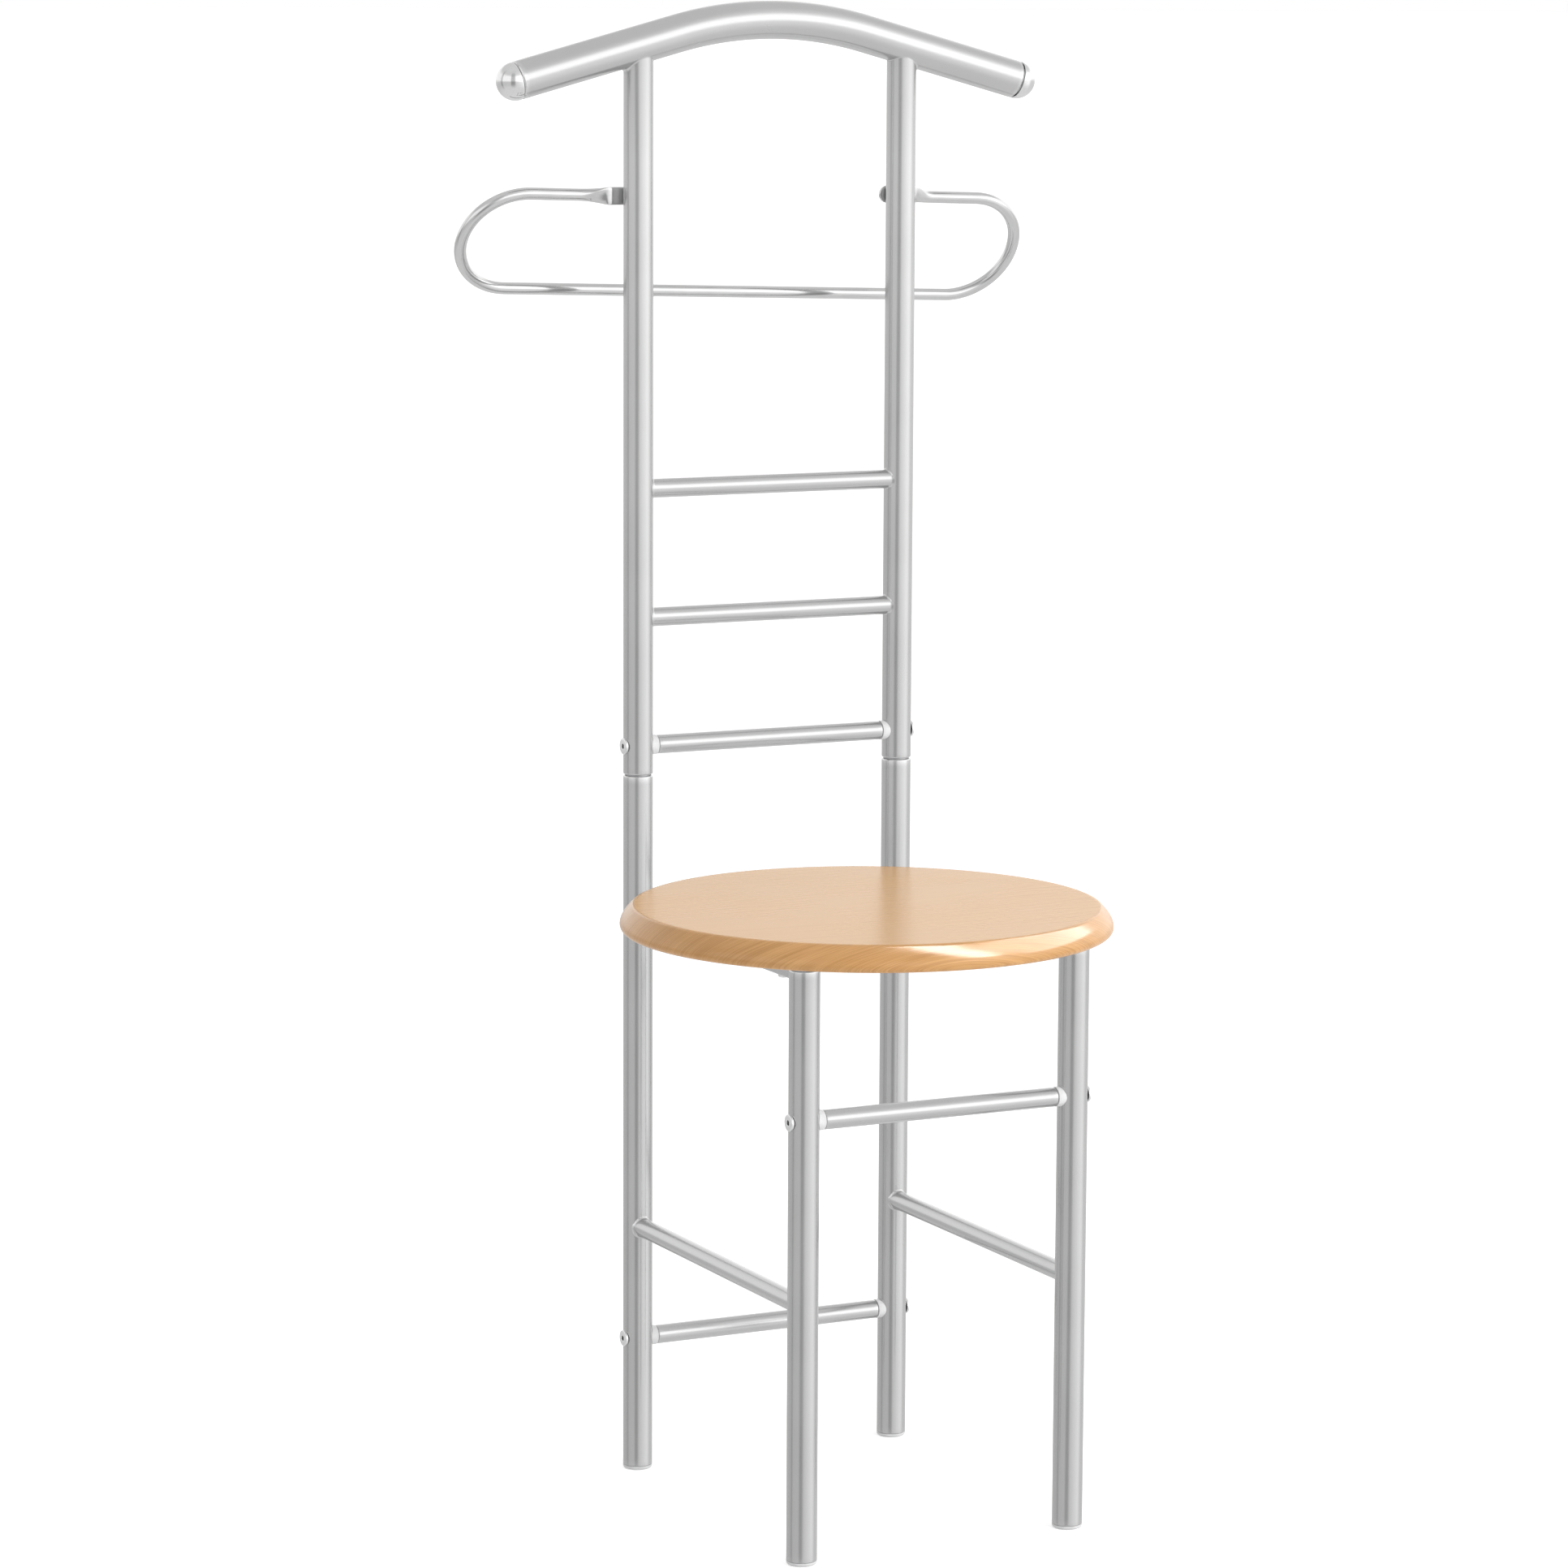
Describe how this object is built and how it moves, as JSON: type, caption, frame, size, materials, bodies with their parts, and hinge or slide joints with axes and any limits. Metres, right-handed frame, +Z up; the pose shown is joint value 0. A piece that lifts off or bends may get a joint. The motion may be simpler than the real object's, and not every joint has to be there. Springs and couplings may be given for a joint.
{
  "type": "valet stand",
  "caption": "Round-tube metal valet stand with a shoulder bar, a looped trouser bar, rungs between the uprights and a round beech-look seat.",
  "frame": {"origin": "on the floor, in the middle of the bounding box", "axes": "+Z up, the front of the seat faces -Y, +X to the viewer's right when seen from the front"},
  "size_m": [0.464, 0.4162, 1.0938],
  "materials": {
    "silver_lacquer": "satin silver-grey metallic lacquer on steel tube, fine grain",
    "chrome_rod": "bright, slightly soft polish",
    "chrome_caps": "mirror polish",
    "bright_screws": "bright zinc plate",
    "plain_steel": "plain",
    "grey_plastic": "light grey, faintly satin",
    "beech_board": "beech look, satin on top, glossier on the rim"
  },
  "bodies": {
    "root": {"back_leg_left": "silver_lacquer", "back_leg_right": "silver_lacquer", "back_stretcher": "silver_lacquer", "back_stretcher_collar_left": "grey_plastic", "back_stretcher_collar_right": "grey_plastic", "back_stretcher_insert_left": "plain_steel", "back_stretcher_insert_right": "plain_steel", "back_stretcher_screw_left": "bright_screws", "back_stretcher_screw_right": "bright_screws", "foot_plug_back_left": "grey_plastic", "foot_plug_back_right": "grey_plastic", "foot_plug_front_left": "grey_plastic", "foot_plug_front_right": "grey_plastic", "front_leg_left": "silver_lacquer", "front_leg_right": "silver_lacquer", "front_stretcher": "silver_lacquer", "front_stretcher_collar_left": "grey_plastic", "front_stretcher_collar_right": "grey_plastic", "front_stretcher_insert_left": "plain_steel", "front_stretcher_insert_right": "plain_steel", "front_stretcher_screw_left": "bright_screws", "front_stretcher_screw_right": "bright_screws", "hanger_bar": "silver_lacquer", "hanger_cap_left": "chrome_caps", "hanger_cap_right": "chrome_caps", "joint_sleeve_left": "plain_steel", "joint_sleeve_right": "plain_steel", "leg_top_plug_left": "grey_plastic", "leg_top_plug_right": "grey_plastic", "lower_rung": "silver_lacquer", "lower_rung_collar_left": "grey_plastic", "lower_rung_collar_right": "grey_plastic", "lower_rung_insert_left": "plain_steel", "lower_rung_insert_right": "plain_steel", "lower_rung_screw_left": "bright_screws", "lower_rung_screw_right": "bright_screws", "middle_rung": "silver_lacquer", "seat": "beech_board", "seat_rail_left": "silver_lacquer", "seat_rail_right": "silver_lacquer", "seat_screw_back_left": "bright_screws", "seat_screw_back_right": "bright_screws", "seat_screw_front_left": "bright_screws", "seat_screw_front_right": "bright_screws", "side_stretcher_left": "silver_lacquer", "side_stretcher_right": "silver_lacquer", "tab_screw_left": "bright_screws", "tab_screw_right": "bright_screws", "trouser_bar": "chrome_rod", "upper_rung": "silver_lacquer", "upper_upright_left": "silver_lacquer", "upper_upright_right": "silver_lacquer"}
  },
  "joints": []
}
